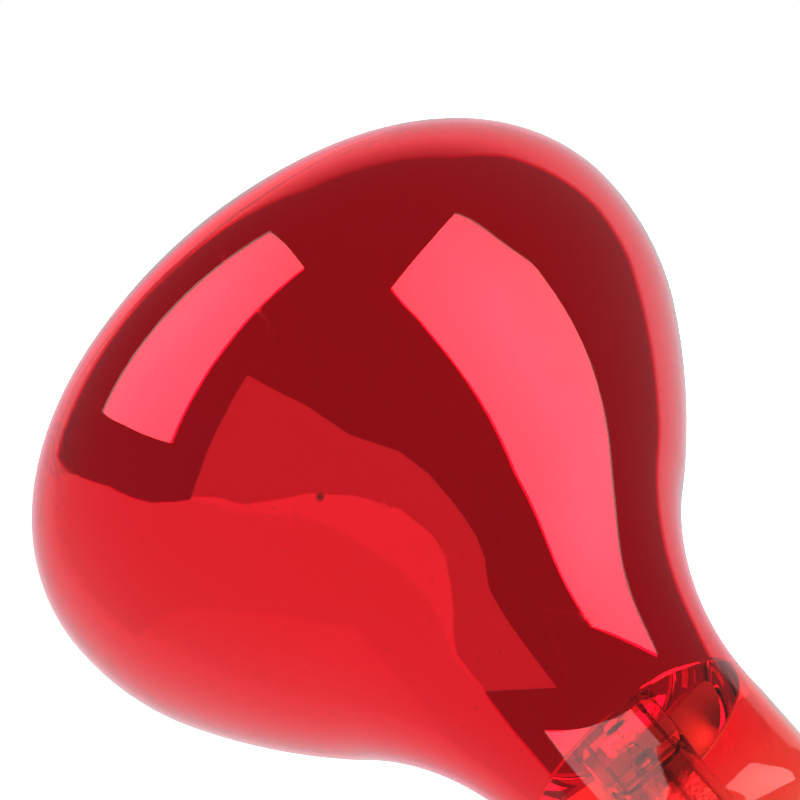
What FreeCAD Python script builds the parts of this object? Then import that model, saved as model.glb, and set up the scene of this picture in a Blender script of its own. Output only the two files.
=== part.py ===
import FreeCAD, Part
import math
import os
from FreeCAD import Vector

# Red glass infrared heat lamp, 125 mm reflector type with an E27 screw base.
# Millimetres. The axis is Z: the front of the glass is at z = 0 and the screw base is at the top.

# ---- glass bulb: one outline of tangent arcs, turned about Z ----
BULB_R = 62.5            # half of the 125 mm reflector diameter
FRONT_ARC_R = 92.0       # domed front
RIM_ARC_R = 25.6         # between the front and the widest place
BODY_ARC_R = 44.0        # behind the widest place
BODY_ARC_TURN = math.radians(27.8)
TAPER_ARC_R = 113.9      # long taper of the reflector
THROAT_ARC_R = 57.8      # hollow curve into the neck
NECK_R = 23.0
NECK_END_Z = 142.1       # where the straight neck starts to close in
CLOSE_ARC_R = 8.0        # shoulder at the end of the neck
CLOSE_TURN = math.radians(58)
SEAL_ARC_R = 4.0         # hollow curve from the shoulder to the sealed end
SEAL_R = 12.2            # outside of the sealed end, inside the base
SEAL_END_Z = 158.2
GLASS_T = 0.9

# ---- mirror film on the inside of the reflector ----
FILM_T = 0.12
FILM_FRONT_ANGLE = math.radians(-40)   # on the rim arc, from the widest place
FILM_END_Z = 121.5

# ---- glass stem ----
STEM_R = 7.6
STEM_T = 0.9
FLARE_ARC_R = 12.0
FLARE_LAND = 1.5         # height of the joint between flare and bulb
PRESS_HALF_WIDTH = 8.3
PRESS_HALF_DEPTH = 2.5
PRESS_END_Z = 114.8      # end of the flat press, towards the filament
PRESS_TOP_Z = 121.5      # where the press opens into the tube
PRESS_ARC_R = 6.5
EXHAUST_R = 2.4
EXHAUST_BORE_R = 1.6
EXHAUST_START_Z = 121.9
EXHAUST_TIP_Z = 166.0
ROD_R = 2.0
BUTTON_R = 4.0
BUTTON_HALF_H = 1.8
BUTTON_Z = 80.0

# ---- wires ----
LEAD_X = 5.6             # each lead runs this far from the axis
INNER_LEAD_R = 0.5
SEAL_WIRE_R = 0.35
OUTER_LEAD_R = 0.25
SEAL_WIRE_Z = (116.3, 122.6)
FILAMENT_RING_R = 14.0
FILAMENT_Z = 70.0
COIL_R = 0.8             # outside of the tungsten coil
FILAMENT_GAP = math.radians(60)
SUPPORT_COUNT = 7
SUPPORT_R = 0.2
HOOK_R = 1.1             # centre line of the hook that holds the coil
HOOK_TURN = math.radians(285)
LEAD_BEND_Z = 98.0

# ---- heat deflector in the throat ----
DEFLECTOR_Z = 105.0
DEFLECTOR_R = 19.0
DEFLECTOR_T = 0.4
DEFLECTOR_RIM_H = 1.6
BUSHING_R = 1.7
BUSHING_FLANGE_R = 2.4

# ---- E27 screw base ----
THREAD_PITCH = 3.629
THREAD_MAJOR_R = 13.1
THREAD_MINOR_R = 12.05
SHEET_T = 0.35
BASE_RIM_Z = 153.9
LIP_ARC_R = 2.2
LIP_TURN = math.radians(40)
THREAD_START_Z = 159.4
THREAD_RUN_IN = 1.9
THREAD_TURNS = 4
CLOSED_R = 12.1          # shell radius where the thread ends
SHELL_ARC_R = 2.4
SHELL_TURN = math.radians(66)
SHELL_HOLE_R = 8.4
INSULATOR_TOP_R = 5.5
INSULATOR_TOP_Z = 179.2
CONTACT_R = 4.9
CONTACT_T = 0.5
EYELET_R = 1.9
EYELET_BORE_R = 1.2
SOLDER_R = 3.3
SOLDER_FLAT_R = 1.5
TOTAL_LENGTH = 181.0
FUSE_R = 1.5
FUSE_BORE_R = 1.0
FUSE_Z = (160.0, 171.0)
FUSE_LINK_R = 0.12

# ---- worked out from the dimensions above ----
WIDEST_Z = FRONT_ARC_R - math.sqrt((FRONT_ARC_R - RIM_ARC_R) ** 2 - (BULB_R - RIM_ARC_R) ** 2)
FRONT_END_ANGLE = math.atan2(WIDEST_Z - FRONT_ARC_R, BULB_R - RIM_ARC_R)
BODY_CENTRE = (BULB_R - BODY_ARC_R, WIDEST_Z)
TAPER_CENTRE = (BODY_CENTRE[0] + (BODY_ARC_R - TAPER_ARC_R) * math.cos(BODY_ARC_TURN),
                BODY_CENTRE[1] + (BODY_ARC_R - TAPER_ARC_R) * math.sin(BODY_ARC_TURN))
THROAT_X = NECK_R + THROAT_ARC_R
THROAT_Z = TAPER_CENTRE[1] + math.sqrt((TAPER_ARC_R + THROAT_ARC_R) ** 2
                                       - (THROAT_X - TAPER_CENTRE[0]) ** 2)
TAPER_END_ANGLE = math.atan2(THROAT_Z - TAPER_CENTRE[1], THROAT_X - TAPER_CENTRE[0])
CONE_START_R = NECK_R - CLOSE_ARC_R * (1 - math.cos(CLOSE_TURN))
CONE_END_R = SEAL_R + SEAL_ARC_R * (1 - math.cos(CLOSE_TURN))
CONE_HEIGHT = (CONE_START_R - CONE_END_R) / math.tan(CLOSE_TURN)
SEAL_ARC_Z = (NECK_END_Z + CLOSE_ARC_R * math.sin(CLOSE_TURN) + CONE_HEIGHT
              + SEAL_ARC_R * math.sin(CLOSE_TURN))
THREAD_MID_R = (THREAD_MAJOR_R + THREAD_MINOR_R) / 2
THREAD_DEPTH = (THREAD_MAJOR_R - THREAD_MINOR_R) / 2
THREAD_END_Z = THREAD_START_Z + THREAD_TURNS * THREAD_PITCH
LIP_TOP_Z = BASE_RIM_Z + LIP_ARC_R * math.sin(LIP_TURN)
SHELL_EDGE_Z = (THREAD_END_Z + SHELL_ARC_R * math.sin(SHELL_TURN)
                + (CLOSED_R - SHELL_ARC_R * (1 - math.cos(SHELL_TURN)) - SHELL_HOLE_R)
                / math.tan(SHELL_TURN))
AXIS = Vector(0, 0, 1)


# ---- drawing helpers ----

def on_circle(centre, radius, angle):
    """Point (r, z) on a circle in the meridian plane; angle 0 points away from the axis."""
    return (centre[0] + radius * math.cos(angle), centre[1] + radius * math.sin(angle))


def flat(point):
    """Meridian point (r, z) as a vector in the XZ plane."""
    return Vector(point[0], 0, point[1])


def line(start, end):
    return Part.LineSegment(flat(start), flat(end)).toShape()


def arc(centre, radius, start, end):
    """Arc in the meridian plane from angle start to angle end."""
    middle = (start + end) / 2
    points = [flat(on_circle(centre, radius, angle)) for angle in (start, middle, end)]
    return Part.Arc(*points).toShape()


def turned(edges):
    """Solid of revolution of a closed meridian outline."""
    face = Part.Face(Part.Wire(Part.__sortEdges__(edges)))
    return face.revolve(Vector(), AXIS, 360)


def turned_polygon(points):
    """Solid of revolution of a straight-sided meridian outline."""
    ring = points + [points[0]]
    return turned([line(a, b) for a, b in zip(ring, ring[1:])])


def tube(radius, bore, low, high, x=0.0):
    """Straight tube along Z, or a plain rod if bore is 0."""
    body = Part.makeCylinder(radius, high - low, Vector(x, 0, low))
    if bore:
        body = body.cut(Part.makeCylinder(bore, high - low, Vector(x, 0, low)))
    return body


def corner(before, point, after, radius):
    """Tangent arc that rounds a corner of a wire: its start, middle and end."""
    back = (before - point).normalize()
    ahead = (after - point).normalize()
    half = back.getAngle(ahead) / 2
    reach = radius / math.tan(half)
    bisector = (back + ahead).normalize()
    centre = point + bisector * (radius / math.sin(half))
    return point + back * reach, centre - bisector * radius, point + ahead * reach


def swept(path, radius):
    """Round wire of the given radius along a list of tangent edges."""
    spine = Part.Wire(path)
    start = path[0].valueAt(path[0].FirstParameter)
    heading = path[0].tangentAt(path[0].FirstParameter)
    section = Part.Wire(Part.makeCircle(radius, start, heading))
    return spine.makePipeShell([section], True, False)


def bent_wire(points, bend_radii, radius):
    """Round wire through the points, each inner corner rounded by its own bend radius."""
    path = []
    start = points[0]
    for index, bend in enumerate(bend_radii, 1):
        enter, middle, leave = corner(points[index - 1], points[index], points[index + 1], bend)
        path.append(Part.LineSegment(start, enter).toShape())
        path.append(Part.Arc(enter, middle, leave).toShape())
        start = leave
    path.append(Part.LineSegment(start, points[-1]).toShape())
    return swept(path, radius)


# ---- glass bulb and mirror film ----

def reflector_edges(inset, front_angle, end_z):
    """Meridian of the reflector at a depth inset into the glass, from the rim arc to end_z."""
    sink = math.asin((THROAT_Z - end_z) / (THROAT_ARC_R + inset))
    return [
        arc((BULB_R - RIM_ARC_R, WIDEST_Z), RIM_ARC_R - inset, front_angle, 0),
        arc(BODY_CENTRE, BODY_ARC_R - inset, 0, BODY_ARC_TURN),
        arc(TAPER_CENTRE, TAPER_ARC_R - inset, BODY_ARC_TURN, TAPER_END_ANGLE),
        arc((THROAT_X, THROAT_Z), THROAT_ARC_R + inset, TAPER_END_ANGLE + math.pi,
            math.pi + sink)]


def bulb_edges(inset):
    """Whole meridian of the bulb at a depth inset, from the axis to the sealed end."""
    neck = NECK_R - inset
    close_centre = (NECK_R - CLOSE_ARC_R, NECK_END_Z)
    seal_centre = (SEAL_R + SEAL_ARC_R, SEAL_ARC_Z)
    cone_start = on_circle(close_centre, CLOSE_ARC_R - inset, CLOSE_TURN)
    cone_end = on_circle(seal_centre, SEAL_ARC_R + inset, CLOSE_TURN + math.pi)
    front = arc((0, FRONT_ARC_R), FRONT_ARC_R - inset, -math.pi / 2, FRONT_END_ANGLE)
    return [front] + reflector_edges(inset, FRONT_END_ANGLE, THROAT_Z) + [
        line((neck, THROAT_Z), (neck, NECK_END_Z)),
        arc(close_centre, CLOSE_ARC_R - inset, 0, CLOSE_TURN),
        line(cone_start, cone_end),
        arc(seal_centre, SEAL_ARC_R + inset, CLOSE_TURN + math.pi, math.pi),
        line((SEAL_R - inset, SEAL_ARC_Z), (SEAL_R - inset, SEAL_END_Z))]


def glass_envelope():
    closing = [line((0, 0), (0, GLASS_T)),
               line((SEAL_R, SEAL_END_Z), (SEAL_R - GLASS_T, SEAL_END_Z))]
    return turned(bulb_edges(0) + bulb_edges(GLASS_T) + closing)


def reflector_coating():
    """Film on the inside of the reflector, closed by a short edge at each end."""
    outer = reflector_edges(GLASS_T, FILM_FRONT_ANGLE, FILM_END_Z)
    inner = reflector_edges(GLASS_T + FILM_T, FILM_FRONT_ANGLE, FILM_END_Z)
    front = Part.LineSegment(outer[0].firstVertex(True).Point,
                             inner[0].firstVertex(True).Point).toShape()
    back = Part.LineSegment(outer[-1].lastVertex(True).Point,
                            inner[-1].lastVertex(True).Point).toShape()
    return turned(outer + inner + [front, back])


# ---- glass stem ----

def stem_outline(inset):
    """Meridian of the stem tube and its flared mouth, from the press end up to the sealed rim."""
    tube_r = STEM_R - inset
    land_r = SEAL_R - GLASS_T - inset
    land_z = SEAL_END_Z - FLARE_LAND
    centre_r = STEM_R + FLARE_ARC_R
    radius = FLARE_ARC_R + inset
    sweep = math.acos((centre_r - land_r) / radius)
    centre = (centre_r, land_z - radius * math.sin(sweep))
    return tube_r, land_r, land_z, centre, radius, sweep


def flared_rod(inset, low):
    """Solid round body of the flared stem, inset from the glass surface, from low upwards."""
    tube_r, land_r, land_z, centre, radius, sweep = stem_outline(inset)
    return turned([
        line((0, low), (tube_r, low)),
        line((tube_r, low), (tube_r, centre[1])),
        arc(centre, radius, math.pi, math.pi - sweep),
        line((land_r, land_z), (land_r, SEAL_END_Z)),
        line((land_r, SEAL_END_Z), (0, SEAL_END_Z)),
        line((0, SEAL_END_Z), (0, low))])


def squeeze(inset, low):
    """Slab that narrows like the press: it widens upwards along one hollow arc on each side."""
    half = PRESS_HALF_DEPTH - inset
    centre_y = PRESS_HALF_DEPTH + PRESS_ARC_R
    radius = PRESS_ARC_R + inset
    top = PRESS_TOP_Z + radius
    edges = []
    for side in (1, -1):
        middle = math.pi * 0.75
        points = [Vector(0, side * (centre_y + radius * math.cos(a)), PRESS_TOP_Z + radius * math.sin(a))
                  for a in (math.pi, middle, math.pi / 2)]
        edges.append(Part.Arc(*points).toShape())
        edges.append(Part.LineSegment(points[0], Vector(0, side * half, low)).toShape())
        edges.append(Part.LineSegment(points[2], Vector(0, side * centre_y, SEAL_END_Z)).toShape())
    edges.append(Part.LineSegment(Vector(0, -half, low), Vector(0, half, low)).toShape())
    edges.append(Part.LineSegment(Vector(0, -centre_y, SEAL_END_Z),
                                  Vector(0, centre_y, SEAL_END_Z)).toShape())
    face = Part.Face(Part.Wire(Part.__sortEdges__(edges)))
    width = 2 * SEAL_R
    slab = face.extrude(Vector(width, 0, 0))
    slab.translate(Vector(-width / 2, 0, 0))
    wide_mouth = Part.makeCylinder(SEAL_R, SEAL_END_Z - top, Vector(0, 0, top))
    return slab.fuse(wide_mouth)


def press_blank():
    """Round blank of the press: wider than the tube, with a rounded end."""
    edge = PRESS_HALF_DEPTH * 0.6
    return turned([
        line((0, PRESS_END_Z), (PRESS_HALF_WIDTH - edge, PRESS_END_Z)),
        arc((PRESS_HALF_WIDTH - edge, PRESS_END_Z + edge), edge, -math.pi / 2, 0),
        line((PRESS_HALF_WIDTH, PRESS_END_Z + edge), (PRESS_HALF_WIDTH, PRESS_TOP_Z)),
        line((PRESS_HALF_WIDTH, PRESS_TOP_Z), (STEM_R, PRESS_TOP_Z + PRESS_ARC_R)),
        line((STEM_R, PRESS_TOP_Z + PRESS_ARC_R), (0, PRESS_TOP_Z + PRESS_ARC_R)),
        line((0, PRESS_TOP_Z + PRESS_ARC_R), (0, PRESS_END_Z))])


def stem_tube(embedded):
    """Flared tube whose end is pressed flat round the wires that pass through it."""
    cavity_z = PRESS_TOP_Z + 2
    outside = flared_rod(0, PRESS_TOP_Z).fuse(press_blank()).common(squeeze(0, PRESS_END_Z))
    cavity = flared_rod(STEM_T, cavity_z).common(squeeze(STEM_T, cavity_z))
    port = Part.makeCylinder(EXHAUST_BORE_R * 0.7, PRESS_HALF_DEPTH * 2,
                             Vector(0, 0, PRESS_TOP_Z - 1), Vector(0, -1, 0))
    passage = Part.makeCylinder(EXHAUST_BORE_R * 0.7, 2, Vector(0, 0, PRESS_TOP_Z - 1))
    glass = outside.cut(cavity).cut(port).cut(passage)
    for piece in embedded:
        glass = glass.cut(piece)
    return glass


def exhaust_tube():
    """Thin glass tube in the middle of the stem, melted shut at its tip."""
    dome_z = EXHAUST_TIP_Z - EXHAUST_R
    bore_dome_z = dome_z - 1
    return turned([
        line((EXHAUST_BORE_R, EXHAUST_START_Z), (EXHAUST_R, EXHAUST_START_Z)),
        line((EXHAUST_R, EXHAUST_START_Z), (EXHAUST_R, dome_z)),
        arc((0, dome_z), EXHAUST_R, 0, math.pi / 2),
        line((0, EXHAUST_TIP_Z), (0, bore_dome_z + EXHAUST_BORE_R)),
        arc((0, bore_dome_z), EXHAUST_BORE_R, math.pi / 2, 0),
        line((EXHAUST_BORE_R, bore_dome_z), (EXHAUST_BORE_R, EXHAUST_START_Z))])


def arbor_rod(embedded):
    """Glass rod fused to the press, with a flattened button that holds the support wires."""
    side = BUTTON_R - BUTTON_HALF_H
    button = turned([
        line((0, BUTTON_Z - BUTTON_HALF_H), (side, BUTTON_Z - BUTTON_HALF_H)),
        arc((side, BUTTON_Z), BUTTON_HALF_H, -math.pi / 2, math.pi / 2),
        line((side, BUTTON_Z + BUTTON_HALF_H), (0, BUTTON_Z + BUTTON_HALF_H)),
        line((0, BUTTON_Z + BUTTON_HALF_H), (0, BUTTON_Z - BUTTON_HALF_H))])
    return tube(ROD_R, 0, BUTTON_Z, PRESS_END_Z).fuse(button).cut(embedded)


# ---- filament and its wires ----

def filament_end(side):
    """Point where the filament meets a lead; side is -1 or 1."""
    angle = -math.pi / 2 + side * FILAMENT_GAP / 2
    return Vector(FILAMENT_RING_R * math.cos(angle), FILAMENT_RING_R * math.sin(angle), FILAMENT_Z)


def filament():
    """Tungsten coil as a round bar of its outside size, bent into an open ring."""
    middle = Vector(0, FILAMENT_RING_R, FILAMENT_Z)
    spine = Part.Arc(filament_end(1), middle, filament_end(-1)).toShape()
    return swept([spine], COIL_R)


def filament_support():
    """One support wire in the XZ plane: out of the button, then down and round the coil."""
    start = Vector(BUTTON_R * 0.6, 0, BUTTON_Z)
    bend = Vector(BUTTON_R * 2.1, 0, BUTTON_Z)
    hook = Vector(FILAMENT_RING_R, 0, FILAMENT_Z)
    to_hook = hook - bend
    slope = math.atan2(to_hook.z, to_hook.x)
    touch = slope + math.pi / 2 + math.asin(HOOK_R / to_hook.Length)
    angles = [touch - HOOK_TURN * part for part in (0, 0.5, 1)]
    ring = [hook + Vector(math.cos(a), 0, math.sin(a)) * HOOK_R for a in angles]
    enter, middle, leave = corner(start, bend, ring[0], 2.0)
    path = [Part.LineSegment(start, enter).toShape(), Part.Arc(enter, middle, leave).toShape(),
            Part.LineSegment(leave, ring[0]).toShape(), Part.Arc(*ring).toShape()]
    return swept(path, SUPPORT_R)


def filament_supports():
    """The support wires, spread evenly along the filament."""
    wires = []
    step = (2 * math.pi - FILAMENT_GAP) / (SUPPORT_COUNT + 1)
    for index in range(1, SUPPORT_COUNT + 1):
        wire = filament_support()
        angle = -math.pi / 2 + FILAMENT_GAP / 2 + index * step
        wire.rotate(Vector(), AXIS, math.degrees(angle))
        wires.append(wire)
    return Part.makeCompound(wires)


def inner_lead(side):
    """Stiff nickel wire from the press to one end of the filament."""
    end = filament_end(side)
    reach = Vector(end.x, end.y, FILAMENT_Z + 6)
    return bent_wire([Vector(side * LEAD_X, 0, SEAL_WIRE_Z[0]), Vector(side * LEAD_X, 0, LEAD_BEND_Z),
                      reach, Vector(end.x, end.y, FILAMENT_Z + COIL_R)], [5, 4], INNER_LEAD_R)


def filament_clamps(leads):
    """Folded tabs that pinch the filament ends onto the leads."""
    clamps = []
    for side, lead in zip((-1, 1), leads):
        end = filament_end(side)
        sleeve = Part.makeCylinder(INNER_LEAD_R + 0.4, 2.4, end + Vector(0, 0, COIL_R))
        clamps.append(sleeve.cut(lead))
    return Part.makeCompound(clamps)


def seal_wires():
    """The stretch of each lead that is sealed into the press glass."""
    return Part.makeCompound([tube(SEAL_WIRE_R, 0, SEAL_WIRE_Z[0], SEAL_WIRE_Z[1], side * LEAD_X)
                              for side in (-1, 1)])


# ---- heat deflector ----

def heat_deflector():
    """Metal disc with a turned-down rim and holes for the rod and the two leads."""
    low = DEFLECTOR_Z - DEFLECTOR_RIM_H
    inner_r = DEFLECTOR_R - DEFLECTOR_T
    top = DEFLECTOR_Z + DEFLECTOR_T
    disc = turned_polygon([(ROD_R + 0.6, DEFLECTOR_Z), (inner_r, DEFLECTOR_Z), (inner_r, low),
                           (DEFLECTOR_R, low), (DEFLECTOR_R, top), (ROD_R + 0.6, top)])
    for side in (-1, 1):
        disc = disc.cut(tube(BUSHING_R, 0, low, top, side * LEAD_X))
    return disc


def deflector_bushings():
    """Ceramic beads that keep the leads clear of the disc, flanged on one side."""
    beads = []
    for side in (-1, 1):
        x = side * LEAD_X
        bead = tube(BUSHING_R, 0, DEFLECTOR_Z - 1.2, DEFLECTOR_Z + DEFLECTOR_T + 1.2, x)
        flange = tube(BUSHING_FLANGE_R, 0, DEFLECTOR_Z + DEFLECTOR_T,
                      DEFLECTOR_Z + DEFLECTOR_T + 1.2, x)
        bore = tube(INNER_LEAD_R, 0, DEFLECTOR_Z - 2, DEFLECTOR_Z + 4, x)
        beads.append(bead.fuse(flange).cut(bore))
    return Part.makeCompound(beads)


def deflector_collar():
    """Split metal collar that grips the glass rod and carries the disc."""
    low = DEFLECTOR_Z - 3
    top = DEFLECTOR_Z + DEFLECTOR_T
    flange_r = ROD_R + 1.1
    collar = turned_polygon([(ROD_R, low), (ROD_R + 0.6, low), (ROD_R + 0.6, top),
                             (flange_r, top), (flange_r, top + 0.4), (ROD_R, top + 0.4)])
    slit = Part.makeBox(2 * flange_r, 0.4, 8, Vector(0, -0.2, low - 1))
    slit.rotate(Vector(), AXIS, 90)
    return collar.cut(slit)


# ---- wires and fuse inside the base ----

def outer_lead_side():
    """Copper wire out of the stem, over the sealed rim and down to the edge of the shell."""
    over_z = SEAL_END_Z + OUTER_LEAD_R + 0.1
    gap_r = (SEAL_R + THREAD_MAJOR_R - SHEET_T) / 2
    tip_z = BASE_RIM_Z - 0.55
    points = [(LEAD_X, SEAL_WIRE_Z[1]), (LEAD_X, over_z), (gap_r, over_z),
              (gap_r, LIP_TOP_Z + 0.4), (gap_r + 0.5, tip_z), (gap_r + 1.7, tip_z)]
    path = [Vector(-r, 0, z) for r, z in points]
    return bent_wire(path, [2.0, 0.5, 1.5, 0.5], OUTER_LEAD_R)


def outer_lead_fused():
    """Copper wire from the stem up to the fuse."""
    return tube(OUTER_LEAD_R, 0, SEAL_WIRE_Z[1], FUSE_Z[0] + 1.5, LEAD_X)


def contact_lead():
    """Copper wire from the fuse to the centre contact."""
    bend_z = FUSE_Z[1] + 1.4
    points = [Vector(LEAD_X, 0, FUSE_Z[1] - 1.5), Vector(LEAD_X, 0, bend_z),
              Vector(0, 0, bend_z + 1.6), Vector(0, 0, TOTAL_LENGTH - 0.9)]
    return bent_wire(points, [0.8, 0.8], OUTER_LEAD_R)


def fuse_sleeve():
    """Glass sleeve of the fuse, necked in round the wire at both ends."""
    low, high = FUSE_Z
    body = turned_polygon([
        (OUTER_LEAD_R, low), (FUSE_R - 0.4, low), (FUSE_R, low + 0.8), (FUSE_R, high - 0.8),
        (FUSE_R - 0.4, high), (OUTER_LEAD_R, high), (OUTER_LEAD_R, high - 1.2),
        (FUSE_BORE_R, high - 1.8), (FUSE_BORE_R, low + 1.8), (OUTER_LEAD_R, low + 1.2)])
    body.translate(Vector(LEAD_X, 0, 0))
    return body


def fuse_link():
    """Thin wire that melts inside the sleeve."""
    return tube(FUSE_LINK_R, 0, FUSE_Z[0] + 1.5, FUSE_Z[1] - 1.5, LEAD_X)


# ---- screw base ----

def smooth_step(value):
    """0 below 0, 1 above 1 and a smooth S between."""
    held = min(max(value, 0.0), 1.0)
    return held * held * (3 - 2 * held)


def thread_ring(z):
    """Mean radius and thread height of the shell at height z inside the threaded stretch."""
    enter = smooth_step((z - THREAD_START_Z) / THREAD_RUN_IN)
    leave = smooth_step((THREAD_END_Z - z) / THREAD_RUN_IN)
    mean = THREAD_MAJOR_R + (THREAD_MID_R - THREAD_MAJOR_R) * enter
    mean += (CLOSED_R - THREAD_MID_R) * (1 - leave)
    return mean, THREAD_DEPTH * min(enter, leave)


def shell_rows(inset):
    """Rows (r, z, thread height) from the flared lip to the closed end of the shell."""
    lip_centre = (THREAD_MAJOR_R + LIP_ARC_R, LIP_TOP_Z)
    end_centre = (CLOSED_R - SHELL_ARC_R, THREAD_END_Z)
    rows = []
    for index in range(3):
        angle = math.pi + LIP_TURN * (1 - index / 3)
        rows.append(on_circle(lip_centre, LIP_ARC_R + inset, angle) + (0,))
    for index in range(3):
        z = LIP_TOP_Z + (THREAD_START_Z - LIP_TOP_Z) * index / 3
        rows.append((THREAD_MAJOR_R - inset, z, 0))
    steps = THREAD_TURNS * 8
    for index in range(steps):
        z = THREAD_START_Z + (THREAD_END_Z - THREAD_START_Z) * index / steps
        mean, height = thread_ring(z)
        rows.append((mean - inset, z, height))
    for index in range(5):
        rows.append(on_circle(end_centre, SHELL_ARC_R - inset, SHELL_TURN * index / 4) + (0,))
    corner_r, corner_z = rows[-1][:2]
    edge_r = SHELL_HOLE_R - inset * math.cos(SHELL_TURN)
    for part in (0.5, 1):
        r = corner_r + (edge_r - corner_r) * part
        rows.append((r, corner_z + (corner_r - r) / math.tan(SHELL_TURN), 0))
    return rows


def shell_skin(inset):
    """The threaded surface: radius = mean + height * cos(turns up - turns round)."""
    columns = 16
    grid = []
    for r, z, height in shell_rows(inset):
        row = []
        for index in range(columns):
            angle = 2 * math.pi * index / columns
            radius = r + height * math.cos(2 * math.pi * z / THREAD_PITCH - angle)
            row.append(Vector(radius * math.cos(angle), radius * math.sin(angle), z))
        grid.append(row + [row[0]])
    surface = Part.BSplineSurface()
    surface.interpolate(grid)
    surface.setVPeriodic()
    return surface


def screw_shell():
    """Sheet metal shell with a rolled right-hand thread: two skins joined along both edges."""
    skins = [shell_skin(0), shell_skin(SHEET_T)]
    faces = [skin.toShape() for skin in skins]
    for end in (0, 1):
        faces.append(Part.makeRuledSurface(*[skin.uIso(skin.bounds()[end]).toShape()
                                             for skin in skins]))
    sewn = Part.makeCompound(faces)
    sewn.sewShape(1e-4)
    return Part.makeSolid(sewn.Shells[0])


def basing_cement(embedded):
    """Ring of cement between the sealed end of the glass and the skirt of the shell."""
    ring = turned_polygon([(SEAL_R - 0.4, BASE_RIM_Z + 1.0), (THREAD_MAJOR_R - SHEET_T, LIP_TOP_Z),
                           (THREAD_MAJOR_R - SHEET_T, SEAL_END_Z), (SEAL_R - 0.4, SEAL_END_Z)])
    for piece in embedded:
        ring = ring.cut(piece)
    return ring


def base_insulator():
    """Black glass that fills the closed end of the shell and carries the centre contact."""
    gap = 0.02
    centre = (CLOSED_R - SHELL_ARC_R, THREAD_END_Z)
    inner_r = SHELL_ARC_R - SHEET_T - gap
    slope_start = on_circle(centre, inner_r, SHELL_TURN)
    hole_r = SHELL_HOLE_R - SHEET_T * math.cos(SHELL_TURN) - gap
    slope_end = (hole_r, slope_start[1] + (slope_start[0] - hole_r) / math.tan(SHELL_TURN))
    neck_top = (hole_r, SHELL_EDGE_Z + 0.1)
    floor_z = THREAD_END_Z + inner_r * math.sin(SHELL_TURN * 0.35)
    start = on_circle(centre, inner_r, SHELL_TURN * 0.35)
    outline = [line((EYELET_R, floor_z), start),
               arc(centre, inner_r, SHELL_TURN * 0.35, SHELL_TURN),
               line(slope_start, slope_end), line(slope_end, neck_top),
               line(neck_top, (INSULATOR_TOP_R, INSULATOR_TOP_Z)),
               line((INSULATOR_TOP_R, INSULATOR_TOP_Z), (EYELET_R, INSULATOR_TOP_Z)),
               line((EYELET_R, INSULATOR_TOP_Z), (EYELET_R, floor_z))]
    return turned(outline)


def contact_plate():
    """Brass eyelet: a disc on the insulator with a tubular shank through it."""
    top = INSULATOR_TOP_Z + CONTACT_T
    low = THREAD_END_Z
    return turned_polygon([(EYELET_BORE_R, low), (EYELET_R, low), (EYELET_R, INSULATOR_TOP_Z),
                           (CONTACT_R, INSULATOR_TOP_Z), (CONTACT_R, top), (EYELET_BORE_R, top)])


def contact_solder(embedded):
    """Solder dome on the eyelet, flat where it touches the lampholder."""
    low = INSULATOR_TOP_Z + CONTACT_T
    rise = TOTAL_LENGTH - low
    middle = flat(((SOLDER_R + SOLDER_FLAT_R) / 2 + 0.35, low + rise * 0.65))
    side = Part.Arc(flat((SOLDER_R, low)), middle, flat((SOLDER_FLAT_R, TOTAL_LENGTH))).toShape()
    plug_z = low - 1.6
    dome = turned([side, line((SOLDER_FLAT_R, TOTAL_LENGTH), (0, TOTAL_LENGTH)),
                   line((0, TOTAL_LENGTH), (0, plug_z)), line((0, plug_z), (EYELET_BORE_R, plug_z)),
                   line((EYELET_BORE_R, plug_z), (EYELET_BORE_R, low)),
                   line((EYELET_BORE_R, low), (SOLDER_R, low))])
    return dome.cut(embedded)


def rim_solder(embedded):
    """Blob of solder that joins the side wire to the lip of the shell."""
    blob = Part.makeSphere(1.15, Vector(-(THREAD_MAJOR_R + 0.75), 0, BASE_RIM_Z + 0.15))
    for piece in embedded:
        blob = blob.cut(piece)
    return max(blob.Solids, key=lambda solid: solid.Volume)


def build_pieces():
    """Every piece of the lamp, by node name."""
    envelope = glass_envelope()
    supports = filament_supports()
    seals = seal_wires()
    leads = [inner_lead(-1), inner_lead(1)]
    side_lead = outer_lead_side()
    fused_lead = outer_lead_fused()
    centre_lead = contact_lead()
    exhaust = exhaust_tube()
    shell = screw_shell()
    cement = basing_cement([envelope, side_lead])
    return {
        "glass_envelope": envelope,
        "reflector_coating": reflector_coating(),
        "stem_tube": stem_tube([exhaust, seals, side_lead, fused_lead] + leads),
        "exhaust_tube": exhaust,
        "arbor_rod": arbor_rod(supports),
        "filament": filament(),
        "filament_supports": supports,
        "filament_clamps": filament_clamps(leads),
        "inner_lead_left": leads[0],
        "inner_lead_right": leads[1],
        "seal_wires": seals,
        "heat_deflector": heat_deflector(),
        "deflector_bushings": deflector_bushings(),
        "deflector_collar": deflector_collar(),
        "outer_lead_side": side_lead,
        "outer_lead_fused": fused_lead,
        "fuse_sleeve": fuse_sleeve(),
        "fuse_link": fuse_link(),
        "contact_lead": centre_lead,
        "screw_shell": shell,
        "basing_cement": cement,
        "base_insulator": base_insulator(),
        "contact_plate": contact_plate(),
        "contact_solder": contact_solder(centre_lead),
        "rim_solder": rim_solder([shell, side_lead, cement, envelope])}


os.makedirs("parts", exist_ok=True)
for name, shape in build_pieces().items():
    if not shape.isValid():
        raise ValueError(name + " isn't a valid shape")
    shape.exportStep("parts/" + name + ".step")
    print(name, len(shape.Solids), round(shape.Volume, 1), "mm3")
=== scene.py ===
"""Red glass infrared heat lamp: the finished surfaces, glass, metals, studio and camera."""
import math

import bpy
import numpy as np
from mathutils import Matrix, Vector


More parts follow.
